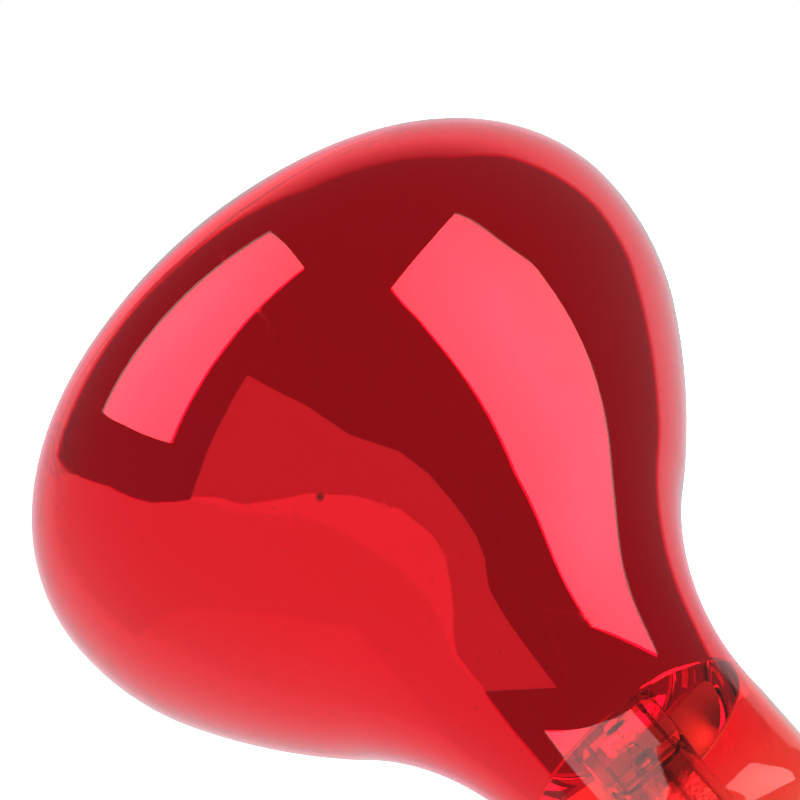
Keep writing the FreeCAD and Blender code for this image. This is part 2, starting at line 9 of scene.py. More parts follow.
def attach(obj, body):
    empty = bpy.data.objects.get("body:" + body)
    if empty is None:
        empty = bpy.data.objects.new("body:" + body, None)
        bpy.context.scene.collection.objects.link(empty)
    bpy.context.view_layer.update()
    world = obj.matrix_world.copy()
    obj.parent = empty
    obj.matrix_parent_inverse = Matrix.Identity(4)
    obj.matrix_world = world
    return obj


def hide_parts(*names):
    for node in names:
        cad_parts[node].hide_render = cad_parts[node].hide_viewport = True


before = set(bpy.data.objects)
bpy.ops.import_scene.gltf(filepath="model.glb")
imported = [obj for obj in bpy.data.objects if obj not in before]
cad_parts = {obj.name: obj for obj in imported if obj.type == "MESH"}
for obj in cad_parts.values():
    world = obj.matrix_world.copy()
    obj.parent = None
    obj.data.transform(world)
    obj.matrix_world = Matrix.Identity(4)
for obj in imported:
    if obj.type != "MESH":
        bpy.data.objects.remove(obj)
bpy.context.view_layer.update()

bl_info = {
    "name": "Infrared heat lamp",
    "version": (1, 0, 0),
    "blender": (4, 5, 0),
    "location": "3D View > Sidebar > Heat lamp",
    "description": "Builds the red reflector bulb, its screw base, its finishes and its studio",
    "category": "Add Mesh",
}

MM = 0.001

# ---- fixed outline of the lamp, in metres ----
FRONT_ARC_R = 92.0 * MM
RIM_ARC_R = 25.6 * MM
BODY_ARC_R = 44.0 * MM
BODY_ARC_TURN = math.radians(27.8)
TAPER_ARC_R = 113.9 * MM
THROAT_ARC_R = 57.8 * MM
NECK_END_Z = 142.1 * MM
CLOSE_ARC_R = 8.0 * MM
CLOSE_TURN = math.radians(58)
SEAL_ARC_R = 4.0 * MM
SEAL_R = 12.2 * MM
SEAL_END_Z = 158.2 * MM
FILM_GAP = 0.02 * MM          # clearance between the glass and the film on it
COIL_RING_R = 14.0 * MM
COIL_Z = 70.0 * MM
COIL_OUTSIDE_R = 0.8 * MM
COIL_GAP = math.radians(60)
SHEET_T = 0.35 * MM
BASE_RIM_Z = 153.9 * MM
LIP_ARC_R = 2.2 * MM
LIP_TURN = math.radians(40)
LIP_TOP_Z = BASE_RIM_Z + LIP_ARC_R * math.sin(LIP_TURN)
THREAD_START_Z = 159.4 * MM
THREAD_RUN_IN = 1.9 * MM
THREAD_TURNS = 4
CLOSED_R = 12.1 * MM
SHELL_ARC_R = 2.4 * MM
SHELL_TURN = math.radians(66)
SHELL_HOLE_R = 8.4 * MM

# ---- fineness of the surfaces ----
BULB_COLUMNS = 256
FILM_ROWS = 150
COIL_STEPS = 14                 # rings along each turn of the coil
WIRE_SIDES = 6
THREAD_ROWS = 26                # rows along each turn of the thread
SHELL_COLUMNS = 160

# ---- marks in the glass and on the film, in metres ----
SEED_PLACE = (0.01166, -0.04922, 0.06864)     # a dark seed in the wall of the bulb
SEED_SIZE = (0.45 * MM, 0.85 * MM)            # radius of its core, and of its soft rim
PALE_SPAN = (116 * MM, 132 * MM)              # the red grows paler over this height
THIN_SPAN = (137 * MM, 148 * MM)              # and paler again as the neck closes in
DUST_SCALE = 260.0                            # cells of dust in a metre
DUST_SPAN = (0.045, 0.085)                    # a speck's core and rim, in cells
DUST_SHARE = 0.35                             # how much a speck hides
RUBBED_PLACE = (0.0450, -0.0410, 0.0280)      # where the film was rubbed thin
RUBBED_SIZE = (6 * MM, 17 * MM)               # radius rubbed most, and where it ends
RUBBED_SPAN = (22 * MM, 36 * MM)              # the rubbing fades out over this height


# ---- sizes and colours that a user may change ----

def length(label, text, default, low=0.0):
    """A length property in metres."""
    return bpy.props.FloatProperty(name=label, description=text, default=default, min=low,
                                   subtype="DISTANCE", unit="LENGTH", precision=5)


def colour(label, text, default):
    """A linear colour property."""
    return bpy.props.FloatVectorProperty(name=label, description=text, default=default,
                                         size=3, min=0.0, max=1.0, subtype="COLOR")


class LampSizes(bpy.types.PropertyGroup):
    """Sizes of the glass, the film, the coil and the thread."""
    bulb_radius: length("Bulb radius", "Half of the widest diameter", 62.5 * MM)
    neck_radius: length("Neck radius", "Outside radius of the straight neck", 23.0 * MM)
    glass_wall: length("Glass wall", "Thickness of the blown glass", 0.9 * MM)
    film_wall: length("Film thickness", "Thickness of the mirror film", 0.1 * MM)
    film_end: length("Film end", "Height at which the mirror film stops in the neck", 121.5 * MM)
    film_start: bpy.props.FloatProperty(
        name="Film start", description="Where the film starts on the rim arc, from the widest place",
        default=math.radians(-40), subtype="ANGLE", unit="ROTATION")
    coil_wire: length("Coil wire", "Radius of the tungsten wire", 0.12 * MM)
    coil_turns: bpy.props.IntProperty(name="Coil turns", description="Turns of the filament",
                                      default=150, min=10)
    thread_pitch: length("Thread pitch", "Pitch of the screw base", 3.629 * MM)
    thread_major: length("Thread crest", "Outside radius of the thread", 13.1 * MM)
    thread_minor: length("Thread root", "Radius at the bottom of the thread", 12.05 * MM)


class LampColours(bpy.types.PropertyGroup):
    """Colours of the glass and the metals."""
    ruby: colour("Ruby glass", "Tint of the red glass", (0.985, 0.012, 0.115))
    film: colour("Mirror film", "Colour of the evaporated film", (0.95, 0.93, 0.93))
    shell: colour("Screw shell", "Colour of the plated shell", (0.78, 0.75, 0.69))
    cement: colour("Cement", "Colour of the basing cement", (0.50, 0.42, 0.32))


class LampStudio(bpy.types.PropertyGroup):
    """Light of the studio round the lamp."""
    softbox: bpy.props.FloatProperty(name="Softboxes", description="Brightness of the softboxes",
                                     default=5.2, min=0.0)
    table: bpy.props.FloatProperty(name="Table", description="Brightness of the white table",
                                   default=0.94, min=0.0)
    room: bpy.props.FloatProperty(name="Room", description="Brightness of the middle of the room",
                                  default=0.61, min=0.0)
    shade: bpy.props.FloatProperty(name="Shade", description="Brightness of the dark side",
                                   default=0.29, min=0.0)


def sizes():
    """The sizes set in the scene."""
    return bpy.context.scene.lamp_sizes


def tints():
    """The colours set in the scene."""
    return bpy.context.scene.lamp_colours


# ---- surfaces ----

def make_piece(name, points, faces, node):
    """A smooth mesh at the origin from an (n, 3) array and face lists, riding on the lamp."""
    mesh = bpy.data.meshes.new(name)
    mesh.from_pydata(points.tolist(), [], faces)
    mesh.polygons.foreach_set("use_smooth", np.full(len(mesh.polygons), True))
    mesh.validate()
    mesh.update()
    piece = bpy.data.objects.new(name, mesh)
    bpy.context.scene.collection.objects.link(piece)
    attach(piece, "root")
    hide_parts(node)
    return piece


def grid_quads(rows, columns, wrap_rows):
    """Quads of a grid that closes round its columns, and round its rows if wrap_rows."""
    i = np.arange(rows if wrap_rows else rows - 1)[:, None]
    j = np.arange(columns)[None, :]
    after, beside = (i + 1) % rows, (j + 1) % columns
    corners = [i * columns + j, i * columns + beside, after * columns + beside, after * columns + j]
    return np.stack([np.broadcast_to(c, (i.size, columns)) for c in corners], -1).reshape(-1, 4)


def arc_points(centre, radius, start, end, count):
    """Points (r, z) on a circle in the meridian plane: centre + radius (cos a, sin a)."""
    a = np.linspace(start, end, count)
    return np.stack([centre[0] + radius * np.cos(a), centre[1] + radius * np.sin(a)], -1)


def line_points(start, end, count):
    """Evenly spaced points on a straight run of the meridian."""
    t = np.linspace(0.0, 1.0, count)[:, None]
    return np.asarray(start) * (1 - t) + np.asarray(end) * t


def joined(*runs):
    """Runs of meridian points end to end, without the repeated joints."""
    return np.concatenate([runs[0]] + [run[1:] for run in runs[1:]])


def outline_facts():
    """Centres and angles where the arcs of the bulb meet, from the tangency of each pair."""
    s = sizes()
    reach = FRONT_ARC_R - RIM_ARC_R
    widest = FRONT_ARC_R - math.sqrt(reach ** 2 - (s.bulb_radius - RIM_ARC_R) ** 2)
    front_end = math.atan2(widest - FRONT_ARC_R, s.bulb_radius - RIM_ARC_R)
    body = (s.bulb_radius - BODY_ARC_R, widest)
    taper = (body[0] + (BODY_ARC_R - TAPER_ARC_R) * math.cos(BODY_ARC_TURN),
             body[1] + (BODY_ARC_R - TAPER_ARC_R) * math.sin(BODY_ARC_TURN))
    throat_r = s.neck_radius + THROAT_ARC_R
    throat_z = taper[1] + math.sqrt((TAPER_ARC_R + THROAT_ARC_R) ** 2 - (throat_r - taper[0]) ** 2)
    taper_end = math.atan2(throat_z - taper[1], throat_r - taper[0])
    return widest, front_end, body, taper, (throat_r, throat_z), taper_end


def reflector_run(inset, front_angle, end_z):
    """Meridian of the reflector at a depth inset, from the rim arc to a height in the throat."""
    widest, _, body, taper, throat, taper_end = outline_facts()
    rim = (sizes().bulb_radius - RIM_ARC_R, widest)
    sink = math.asin((throat[1] - end_z) / (THROAT_ARC_R + inset))
    return joined(
        arc_points(rim, RIM_ARC_R - inset, front_angle, 0, 34),
        arc_points(body, BODY_ARC_R - inset, 0, BODY_ARC_TURN, 22),
        arc_points(taper, TAPER_ARC_R - inset, BODY_ARC_TURN, taper_end, 34),
        arc_points(throat, THROAT_ARC_R + inset, taper_end + math.pi, math.pi + sink, 30))


def bulb_run(inset):
    """Whole meridian of the bulb at a depth inset, from the axis to the sealed end."""
    _, front_end, _, _, throat, _ = outline_facts()
    neck = sizes().neck_radius
    front = arc_points((0, FRONT_ARC_R), FRONT_ARC_R - inset, -math.pi / 2, front_end, 40)
    front[0, 0] = 0.0
    close = (neck - CLOSE_ARC_R, NECK_END_Z)
    cone_r = neck - CLOSE_ARC_R * (1 - math.cos(CLOSE_TURN))
    cone_end_r = SEAL_R + SEAL_ARC_R * (1 - math.cos(CLOSE_TURN))
    seal_z = (NECK_END_Z + (CLOSE_ARC_R + SEAL_ARC_R) * math.sin(CLOSE_TURN)
              + (cone_r - cone_end_r) / math.tan(CLOSE_TURN))
    shoulder = arc_points(close, CLOSE_ARC_R - inset, 0, CLOSE_TURN, 14)
    seal = arc_points((SEAL_R + SEAL_ARC_R, seal_z), SEAL_ARC_R + inset,
                      CLOSE_TURN + math.pi, math.pi, 10)
    return joined(
        front, reflector_run(inset, front_end, throat[1]),
        line_points((neck - inset, throat[1]), (neck - inset, NECK_END_Z), 6), shoulder,
        line_points(shoulder[-1], seal[0], 6), seal,
        line_points(seal[-1], (SEAL_R - inset, SEAL_END_Z), 4))


def turned(run, columns):
    """A meridian turned about Z: (r cos u, r sin u, z) for every u round the circle."""
    u = np.arange(columns) * 2 * math.pi / columns
    r, z = run[:, :1], run[:, 1:]
    return np.stack([r * np.cos(u), r * np.sin(u), np.broadcast_to(z, (len(run), columns))], -1)


def build_bulb():
    """Blown glass bulb: outer and inner surface of revolution, closed at both poles."""
    columns = BULB_COLUMNS
    outer, inner = bulb_run(0.0), bulb_run(sizes().glass_wall)[::-1]
    run = np.concatenate([outer, inner])
    rings = turned(run[1:-1], columns).reshape(-1, 3)
    poles = np.array([[0, 0, run[0, 1]], [0, 0, run[-1, 1]]])
    points = np.concatenate([rings, poles])
    first, last = len(rings), len(rings) + 1
    j = np.arange(columns)
    beside = (j + 1) % columns
    base = len(rings) - columns
    tip = np.stack([np.full(columns, first), beside, j], -1)
    foot = np.stack([np.full(columns, last), base + j, base + beside], -1)
    faces = grid_quads(len(run) - 2, columns, False).tolist() + tip.tolist() + foot.tolist()
    return make_piece("glass_bulb", points, faces, "glass_envelope")


def along(run, amounts):
    """Points of a run at given fractions of its length, for a whole array of fractions."""
    steps = np.hypot(*np.diff(run, axis=0).T)
    place = np.concatenate([[0.0], np.cumsum(steps)]) / steps.sum()
    return np.interp(amounts, place, run[:, 0]), np.interp(amounts, place, run[:, 1])


def build_film():
    """Mirror film just inside the glass; both its edges wander a little round the bulb."""
    s = sizes()
    columns, rows = BULB_COLUMNS, FILM_ROWS
    u = np.arange(columns)[None, :] * 2 * math.pi / columns
    wander = np.sin(3 * u + 1.1) + 0.6 * np.sin(7 * u + 0.4) + 0.4 * np.sin(17 * u + 2.0)
    fine = 0.5 * np.sin(41 * u + 0.7) + 0.4 * np.sin(67 * u + 1.9)
    t = np.linspace(0.0, 1.0, rows)[:, None]
    # Shares of the run at which the film starts and ends.
    start = 0.004 + 0.003 * wander + 0.001 * fine
    end = 0.997 - 0.0008 * wander[:, ::-1] - 0.0003 * fine
    share = start + (end - start) * t
    skins = []
    for depth in (FILM_GAP, s.film_wall):
        run = reflector_run(s.glass_wall + depth, s.film_start, s.film_end)
        r, z = along(run, share)
        skins.append(np.stack([r * np.cos(u), r * np.sin(u), z], -1))
    points = np.concatenate([skins[0], skins[1][::-1]]).reshape(-1, 3)
    faces = grid_quads(2 * rows, columns, True).tolist()
    return make_piece("mirror_film", points, faces, "reflector_coating")


def tube_along(path, radius, sides):
    """Round wire along an (n, 3) path: each ring is path + radius (side cos v + other sin v),
    with side square to the wire and to the way out from the lamp's axis."""
    tangent = np.gradient(path, axis=0)
    tangent /= np.linalg.norm(tangent, axis=1, keepdims=True)
    centre = path * np.array([1, 1, 0])
    guide = centre / np.linalg.norm(centre, axis=1, keepdims=True)
    side = np.cross(tangent, guide)
    side /= np.linalg.norm(side, axis=1, keepdims=True)
    other = np.cross(tangent, side)
    v = np.arange(sides)[None, :, None] * 2 * math.pi / sides
    rings = path[:, None] + radius * (side[:, None] * np.cos(v) + other[:, None] * np.sin(v))
    points = np.concatenate([rings.reshape(-1, 3), path[:1], path[-1:]])
    n = len(path) * sides
    j = np.arange(sides)
    beside = (j + 1) % sides
    start = np.stack([np.full(sides, n), beside, j], -1)
    finish = np.stack([np.full(sides, n + 1), n - sides + j, n - sides + beside], -1)
    return points, grid_quads(len(path), sides, False).tolist() + start.tolist() + finish.tolist()


def build_coil():
    """Tungsten coil: a helix of small radius carried round an open ring about the axis."""
    s = sizes()
    steps = s.coil_turns * COIL_STEPS
    t = np.linspace(0.0, 1.0, steps)
    u = -math.pi / 2 + COIL_GAP / 2 + t * (2 * math.pi - COIL_GAP)
    w = t * s.coil_turns * 2 * math.pi
    coil_r = COIL_OUTSIDE_R - s.coil_wire
    r = COIL_RING_R + coil_r * np.cos(w)
    path = np.stack([r * np.cos(u), r * np.sin(u), COIL_Z + coil_r * np.sin(w)], -1)
    points, faces = tube_along(path, s.coil_wire, WIRE_SIDES)
    return make_piece("tungsten_coil", points, faces, "filament")


def smooth_step(value):
    """0 below 0, 1 above 1 and 3 t^2 - 2 t^3 between."""
    held = np.clip(value, 0.0, 1.0)
    return held * held * (3 - 2 * held)


def shell_run(inset):
    """Rows (r, z, thread height) of the shell from the flared lip to its closed end."""
    s = sizes()
    middle = (s.thread_major + s.thread_minor) / 2
    depth = (s.thread_major - s.thread_minor) / 2
    end_z = THREAD_START_Z + THREAD_TURNS * s.thread_pitch
    lip = arc_points((s.thread_major + LIP_ARC_R, LIP_TOP_Z), LIP_ARC_R + inset,
                     math.pi + LIP_TURN, math.pi, 8)
    skirt = line_points((s.thread_major - inset, LIP_TOP_Z),
                        (s.thread_major - inset, THREAD_START_Z), 6)
    z = np.linspace(THREAD_START_Z, end_z, THREAD_TURNS * THREAD_ROWS)
    enter = smooth_step((z - THREAD_START_Z) / THREAD_RUN_IN)
    leave = smooth_step((end_z - z) / THREAD_RUN_IN)
    mean = (s.thread_major + (middle - s.thread_major) * enter
            + (CLOSED_R - middle) * (1 - leave) - inset)
    threads = np.stack([mean, z], -1)
    closing = arc_points((CLOSED_R - SHELL_ARC_R, end_z), SHELL_ARC_R - inset, 0, SHELL_TURN, 10)
    edge_r = SHELL_HOLE_R - inset * math.cos(SHELL_TURN)
    edge_z = closing[-1, 1] + (closing[-1, 0] - edge_r) / math.tan(SHELL_TURN)
    cone = line_points(closing[-1], (edge_r, edge_z), 6)
    run = joined(lip, skirt, threads, closing, cone)
    height = np.zeros(len(run))
    first = len(lip) + len(skirt) - 2
    height[first:first + len(z)] = depth * np.minimum(enter, leave)
    return run, height


def build_shell():
    """Rolled thread: radius = mean + height cos(2 pi z / pitch - u), as two joined skins."""
    columns = SHELL_COLUMNS
    u = np.arange(columns)[None, :] * 2 * math.pi / columns
    skins = []
    for inset in (0.0, SHEET_T):
        run, height = shell_run(inset)
        wave = np.cos(2 * math.pi * run[:, 1:] / sizes().thread_pitch - u)
        r = run[:, :1] + height[:, None] * wave
        skins.append(np.stack([r * np.cos(u), r * np.sin(u),
                               np.broadcast_to(run[:, 1:], r.shape)], -1))
    points = np.concatenate([skins[0], skins[1][::-1]])
    faces = grid_quads(len(points), columns, True).tolist()
    return make_piece("threaded_shell", points.reshape(-1, 3), faces,
                      "screw_shell")


# ---- shader node groups used by several finishes ----

def wired(tree, kind, values=(), **settings):
    """A node with its settings and its unlinked inputs set."""
    node = tree.nodes.new(kind)
    for key, value in settings.items():
        setattr(node, key, value)
    for key, value in values:
        if isinstance(value, bpy.types.NodeSocket):
            tree.links.new(value, node.inputs[key])
        else:
            node.inputs[key].default_value = value
    return node


def ranged(tree, value, span, low=0.0, high=1.0):
    """A value carried from a span (start, end) to low..high, and held beyond both."""
    node = wired(tree, "ShaderNodeMapRange", [("Value", value), ("From Min", span[0]),
                 ("From Max", span[1]), ("To Min", low), ("To Max", high)])
    return node.outputs[0]


def mixed_value(tree, share, low, high):
    """A number between two numbers or sockets."""
    return wired(tree, "ShaderNodeMix", [(0, share), (2, low), (3, high)]).outputs[0]


def mixed_colour(tree, share, low, high):
    """A colour between two colours or sockets."""
    return wired(tree, "ShaderNodeMix", [(0, share), (6, low), (7, high)],
                 data_type="RGBA").outputs[2]


def product(tree, first, second):
    """Two masks multiplied."""
    return wired(tree, "ShaderNodeMath", [(0, first), (1, second)],
                 operation="MULTIPLY").outputs[0]


def distance_to(tree, place, centre):
    """Distance of a place from a fixed point."""
    return wired(tree, "ShaderNodeVectorMath", [(0, place), (1, centre)],
                 operation="DISTANCE").outputs["Value"]


def noise(tree, vector, scale, detail, roughness=0.5, distortion=0.0):
    """The value of a noise."""
    return wired(tree, "ShaderNodeTexNoise", [("Vector", vector), ("Scale", scale),
                 ("Detail", detail), ("Roughness", roughness),
                 ("Distortion", distortion)]).outputs[0]


def new_group(name, inputs, outputs):
    """An empty shader group with float, vector or colour sockets."""
    group = bpy.data.node_groups.new(name, "ShaderNodeTree")
    for label, kind, value in inputs:
        socket = group.interface.new_socket(label, in_out="INPUT", socket_type=kind)
        if value is not None:
            socket.default_value = value
    for label, kind in outputs:
        group.interface.new_socket(label, in_out="OUTPUT", socket_type=kind)
    return group, group.nodes.new("NodeGroupInput"), group.nodes.new("NodeGroupOutput")


def grain_group():
    """Cloudy and fine variation of a surface: a mask round 0.5, and the grain as a height."""
    group, start, end = new_group(
        "surface_grain",
        [("Vector", "NodeSocketVector", None), ("Clouds", "NodeSocketFloat", 90.0),
         ("Grain", "NodeSocketFloat", 900.0), ("Share", "NodeSocketFloat", 0.4)],
        [("Mask", "NodeSocketFloat"), ("Height", "NodeSocketFloat")])
    vector = start.outputs["Vector"]
    clouds = noise(group, vector, start.outputs["Clouds"], 4.0, 0.6)
    grain = noise(group, vector, start.outputs["Grain"], 3.0, 0.65)
    mask = mixed_value(group, start.outputs["Share"], clouds, grain)
    group.links.new(mask, end.inputs["Mask"])
    group.links.new(grain, end.inputs["Height"])
    return group


def scratch_group():
    """Sparse hairline marks: thin lines between cells, kept where a noise is above a cut."""
    group, start, end = new_group(
        "hairline_marks",
        [("Vector", "NodeSocketVector", None), ("Scale", "NodeSocketFloat", 60.0),
         ("Cut", "NodeSocketFloat", 0.6)],
        [("Mask", "NodeSocketFloat")])
    vector, scale = start.outputs["Vector"], start.outputs["Scale"]
    lines = wired(group, "ShaderNodeTexVoronoi", [("Vector", vector), ("Scale", scale)],
                  feature="DISTANCE_TO_EDGE")
    line_width = 0.012
    thin = ranged(group, lines.outputs[0], (0.0, line_width), 1.0, 0.0)
    kept = wired(group, "ShaderNodeMath", [(0, noise(group, vector, scale, 2.0)),
                 (1, start.outputs["Cut"])], operation="GREATER_THAN")
    group.links.new(product(group, thin, kept.outputs[0]), end.inputs["Mask"])
    return group


def shared_group(maker, name):
    """The group of that name, made once."""
    return bpy.data.node_groups.get(name) or maker()


# ---- finishes ----

MASK_SPAN = (0.3, 0.7)          # nearly all of a noise lies between these
BRIGHT_SPAN = (0.2, 0.75)       # the same for the thread's crests and grain together, which set the painted shade in the roots


def new_finish(name, **sockets):
    """A material with a Principled shader whose plain values are set on its sockets."""
    material = bpy.data.materials.new(name)
    material.use_nodes = True
    tree = material.node_tree
    shader = tree.nodes["Principled BSDF"]
    for key, value in sockets.items():
        shader.inputs[key.replace("_", " ")].default_value = value
    coordinates = tree.nodes.new("ShaderNodeTexCoord").outputs["Object"]
    return material, tree, shader, coordinates


def grain_on(tree, vector, clouds, grain, share):
    """The shared grain group with its own values."""
    node = wired(tree, "ShaderNodeGroup", node_tree=shared_group(grain_group, "surface_grain"))
    tree.links.new(vector, node.inputs["Vector"])
    for key, value in (("Clouds", clouds), ("Grain", grain), ("Share", share)):
        node.inputs[key].default_value = value
    return node.outputs["Mask"], node.outputs["Height"]


def scratches_on(tree, vector, scale, cut, stretch):
    """The shared hairlines, stretched along an axis by a Mapping node."""
    mapped = wired(tree, "ShaderNodeMapping", [("Vector", vector), ("Scale", stretch)])
    node = wired(tree, "ShaderNodeGroup", node_tree=shared_group(scratch_group, "hairline_marks"))
    tree.links.new(mapped.outputs[0], node.inputs["Vector"])
    node.inputs["Scale"].default_value = scale
    node.inputs["Cut"].default_value = cut
    return node.outputs["Mask"]


def ramp_to(tree, mask, socket, low, high, span=MASK_SPAN):
    """A mask stretched to a range of values and fed to a shader socket."""
    tree.links.new(ranged(tree, mask, span, low, high), socket)


def tint_to(tree, mask, socket, low, high, span=MASK_SPAN):
    """A mask turned into a colour between two colours and fed to a shader socket."""
    colour_out = mixed_colour(tree, ranged(tree, mask, span), (*low, 1.0), (*high, 1.0))
    tree.links.new(colour_out, socket)
    return colour_out


def bump_to(tree, shader, height, strength, distance):
    """A bump from a height, added before any bump that is already there."""
    bump = wired(tree, "ShaderNodeBump", [("Height", height), ("Strength", strength),
                 ("Distance", distance)])
    slot = shader.inputs["Normal"]
    if slot.is_linked:
        tree.links.new(slot.links[0].from_socket, bump.inputs["Normal"])
    tree.links.new(bump.outputs[0], slot)


def ruby_finish():
    """Red glass: faint cords in the tint, slow waves in the wall, dust, hairlines, one seed."""
    ruby = tints().ruby
    material, tree, shader, place = new_finish(
        "ruby_glass", IOR=1.32, Transmission_Weight=1.0, Roughness=0.0)
    mask, _ = grain_on(tree, place, 22.0, 140.0, 0.15)
    deep = (ruby[0] * 0.985, ruby[1] * 0.7, ruby[2] * 0.7)
    tint = tint_to(tree, mask, shader.inputs["Base Color"], deep, tuple(ruby))
    seed = ranged(tree, distance_to(tree, place, SEED_PLACE), SEED_SIZE, 1.0, 0.0)
    tint = mixed_colour(tree, seed, tint, (0.22, 0.0, 0.0, 1.0))
    specks = wired(tree, "ShaderNodeTexVoronoi", [("Vector", place), ("Scale", DUST_SCALE)])
    dust = ranged(tree, specks.outputs["Distance"], DUST_SPAN, DUST_SHARE, 0.0)
    tint = mixed_colour(tree, dust, tint, (0.45, 0.05, 0.06, 1.0))
    height_in_lamp = wired(tree, "ShaderNodeSeparateXYZ", [(0, place)]).outputs["Z"]
    pale = ranged(tree, height_in_lamp, PALE_SPAN)
    tint = mixed_colour(tree, pale, tint, (0.98, 0.14, 0.11, 1.0))
    thin = ranged(tree, height_in_lamp, THIN_SPAN)
    tint = mixed_colour(tree, thin, tint, (0.99, 0.36, 0.28, 1.0))
    tree.links.new(tint, shader.inputs["Base Color"])
    marks = scratches_on(tree, place, 55.0, 0.64, (1.0, 1.0, 0.35))
    ramp_to(tree, marks, shader.inputs["Roughness"], 0.0, 0.22, (0.0, 1.0))
    bump_to(tree, shader, noise(tree, place, 24.0, 1.0, 0.4), 0.10, 0.0016)
    bump_to(tree, shader, marks, 0.10, 0.00005)
    return material


def film_finish():
    """Evaporated aluminium: bright, faint clouds, a slow waviness and one rubbed patch."""
    film = tints().film
    material, tree, shader, place = new_finish("mirror_film", Metallic=1.0, Roughness=0.02)
    mask, height = grain_on(tree, place, 30.0, 400.0, 0.25)
    tint = tint_to(tree, mask, shader.inputs["Base Color"], tuple(c * 0.95 for c in film),
                   tuple(film))
    drawn = wired(tree, "ShaderNodeMapping", [("Vector", place), ("Scale", (1.0, 1.0, 0.22))])
    strokes = ranged(tree, noise(tree, drawn.outputs[0], 420.0, 2.0, 0.5, 0.6), (0.53, 0.59))
    near = ranged(tree, distance_to(tree, place, RUBBED_PLACE), RUBBED_SIZE, 1.0, 0.0)
    level = wired(tree, "ShaderNodeSeparateXYZ", [(0, place)]).outputs["Z"]
    low = ranged(tree, level, RUBBED_SPAN, 0.75, 0.0)
    worn = product(tree, product(tree, strokes, near), low)
    brushed = mixed_colour(tree, worn, tint, (0.30, 0.27, 0.27, 1.0))
    tree.links.new(brushed, shader.inputs["Base Color"])
    ramp_to(tree, mask, shader.inputs["Roughness"], 0.012, 0.045)
    bump_to(tree, shader, noise(tree, place, 20.0, 1.5, 0.45), 0.12, 0.0016)
    bump_to(tree, shader, height, 0.015, 0.0001)
    return material


def clear_glass_finish():
    """Clear glass of the stem: faintly green, rippled where the flame softened it."""
    material, tree, shader, place = new_finish(
        "clear_glass", IOR=1.5, Transmission_Weight=1.0, Roughness=0.0)
    mask, height = grain_on(tree, place, 160.0, 700.0, 0.3)
    tint_to(tree, mask, shader.inputs["Base Color"], (0.93, 0.96, 0.94), (0.98, 0.99, 0.98))
    ramp_to(tree, mask, shader.inputs["Roughness"], 0.0, 0.03)
    bump_to(tree, shader, height, 0.12, 0.0004)
    return material


def metal_finish(name, low, high, roughness, clouds, grain, bump, stretch=None):
    """A metal with cloudy colour and roughness, fine grain and optional drawn lines;
    clouds and grain are the scales of its two noises."""
    material, tree, shader, place = new_finish(name, Metallic=1.0)
    source = place
    if stretch:
        drawn = wired(tree, "ShaderNodeMapping", [("Vector", place), ("Scale", stretch)])
        source = drawn.outputs[0]
    mask, height = grain_on(tree, source, clouds, grain, 0.4)
    tint_to(tree, mask, shader.inputs["Base Color"], low, high)
    ramp_to(tree, mask, shader.inputs["Roughness"], roughness[0], roughness[1])
    bump_to(tree, shader, height, bump, 0.0001)
    return material


def shell_finish():
    """Plated screw shell: painted shade darkens its colour from the crests into the roots of the
    thread, which are also rougher; hairlines round.
    """
    base = tints().shell
    material, tree, shader, place = new_finish("plated_shell", Metallic=1.0)
    s = sizes()
    flat = wired(tree, "ShaderNodeVectorMath", [(0, place), (1, (1.0, 1.0, 0.0))],
                 operation="MULTIPLY")
    radius = wired(tree, "ShaderNodeVectorMath", [(0, flat.outputs[0])], operation="LENGTH")
    crest = ranged(tree, radius.outputs["Value"], (s.thread_minor, s.thread_major))
    mask, height = grain_on(tree, place, 140.0, 1500.0, 0.45)
    # painted shade: colour and roughness follow the radius, darker and rougher in the roots of the
    # thread, mixed with grain
    bright = mixed_value(tree, 0.55, crest, mask)
    tint_to(tree, bright, shader.inputs["Base Color"],
            tuple(c * 0.72 for c in base), tuple(base), BRIGHT_SPAN)
    ramp_to(tree, bright, shader.inputs["Roughness"], 0.42, 0.2, BRIGHT_SPAN)
    marks = scratches_on(tree, place, 150.0, 0.5, (0.3, 0.3, 2.5))
    bump_to(tree, shader, height, 0.10, 0.0001)
    bump_to(tree, shader, marks, 0.25, 0.00004)
    return material


def dull_finish(name, low, high, roughness, clouds, grain, bump, **sockets):
    """A non-metal with cloudy colour, roughness and grain, as in metal_finish."""
    material, tree, shader, place = new_finish(name, **sockets)
    mask, height = grain_on(tree, place, clouds, grain, 0.5)
    tint_to(tree, mask, shader.inputs["Base Color"], low, high)
    ramp_to(tree, mask, shader.inputs["Roughness"], roughness[0], roughness[1])
    bump_to(tree, shader, height, bump, 0.0003)
    return material


def dress(material, *nodes):
    """Gives CAD nodes or pieces a finish in every material slot."""
    for name in nodes:
        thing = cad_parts.get(name) or bpy.data.objects[name]
        if not thing.material_slots:
            thing.data.materials.append(material)
        for slot in thing.material_slots:
            slot.material = material


# ---- studio ----

CAMERA_PLACE = (-0.0091, -0.8943, 0.4844)
CAMERA_RIGHT = (-0.7532, 0.2926, 0.5892)
CAMERA_UP = (-0.6579, -0.3350, -0.6746)
CAMERA_BACK = (0.0, -0.8957, 0.4448)
CAMERA_LENS = 254.6             # millimetres, on a sensor 36 mm wide
FLOOR_HALF = 4.0
FLOOR_LEVEL = -0.002
